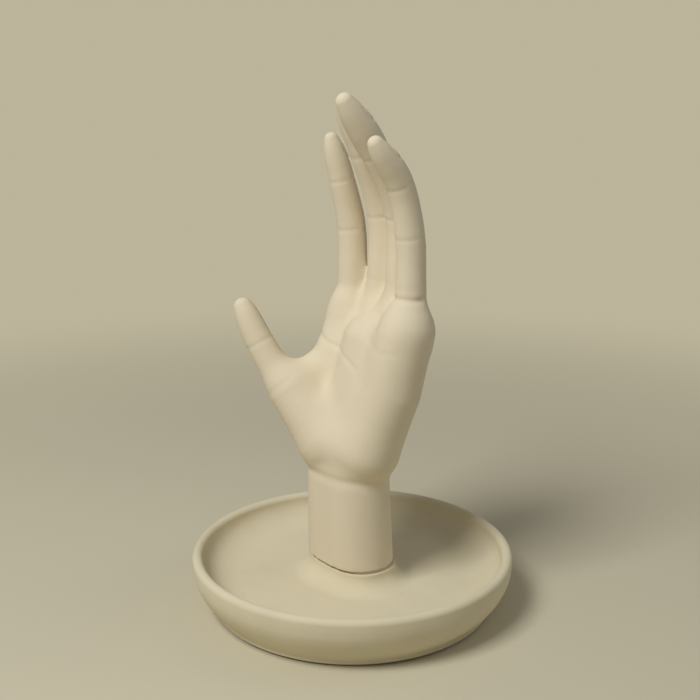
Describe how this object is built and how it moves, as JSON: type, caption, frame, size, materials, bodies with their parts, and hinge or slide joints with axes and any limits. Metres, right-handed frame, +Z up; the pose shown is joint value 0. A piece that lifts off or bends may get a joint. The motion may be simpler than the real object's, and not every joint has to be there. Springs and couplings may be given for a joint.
{
  "type": "jewellery display hand",
  "caption": "Upright cast left hand on a round shallow dish, for hanging rings, chains and bracelets; the hand turns on a screw under the dish.",
  "frame": {"origin": "on the table, under the middle of the dish", "axes": "+Z up along the axis that the hand turns on, -Y where the palm faces, -X on the thumb's side"},
  "size_m": [0.16, 0.16, 0.2492],
  "materials": {
    "bisque": "matte unglazed white casting, fine grain",
    "silicone": "ivory silicone sheet",
    "beech": "turned beech",
    "brass": "machined",
    "steel": "zinc plated",
    "rubber": "black rubber",
    "felt": "grey felt"
  },
  "bodies": {
    "dish": {"dish": "bisque", "wrist_gasket": "silicone", "rubber_washer": "rubber", "felt_foot_1": "felt", "felt_foot_2": "felt", "felt_foot_3": "felt", "felt_foot_4": "felt"},
    "hand": {"hand": "bisque", "wrist_plug": "beech", "threaded_insert": "brass", "clamp_screw": "steel", "steel_washer": "steel", "spring_washer": "steel"}
  },
  "joints": [
    {"name": "hand_swivel", "type": "hinge", "parent": "dish", "child": "hand", "pos_m": [0, 0, 0.023], "axis": [0, 0, 1], "continuous": true}
  ]
}
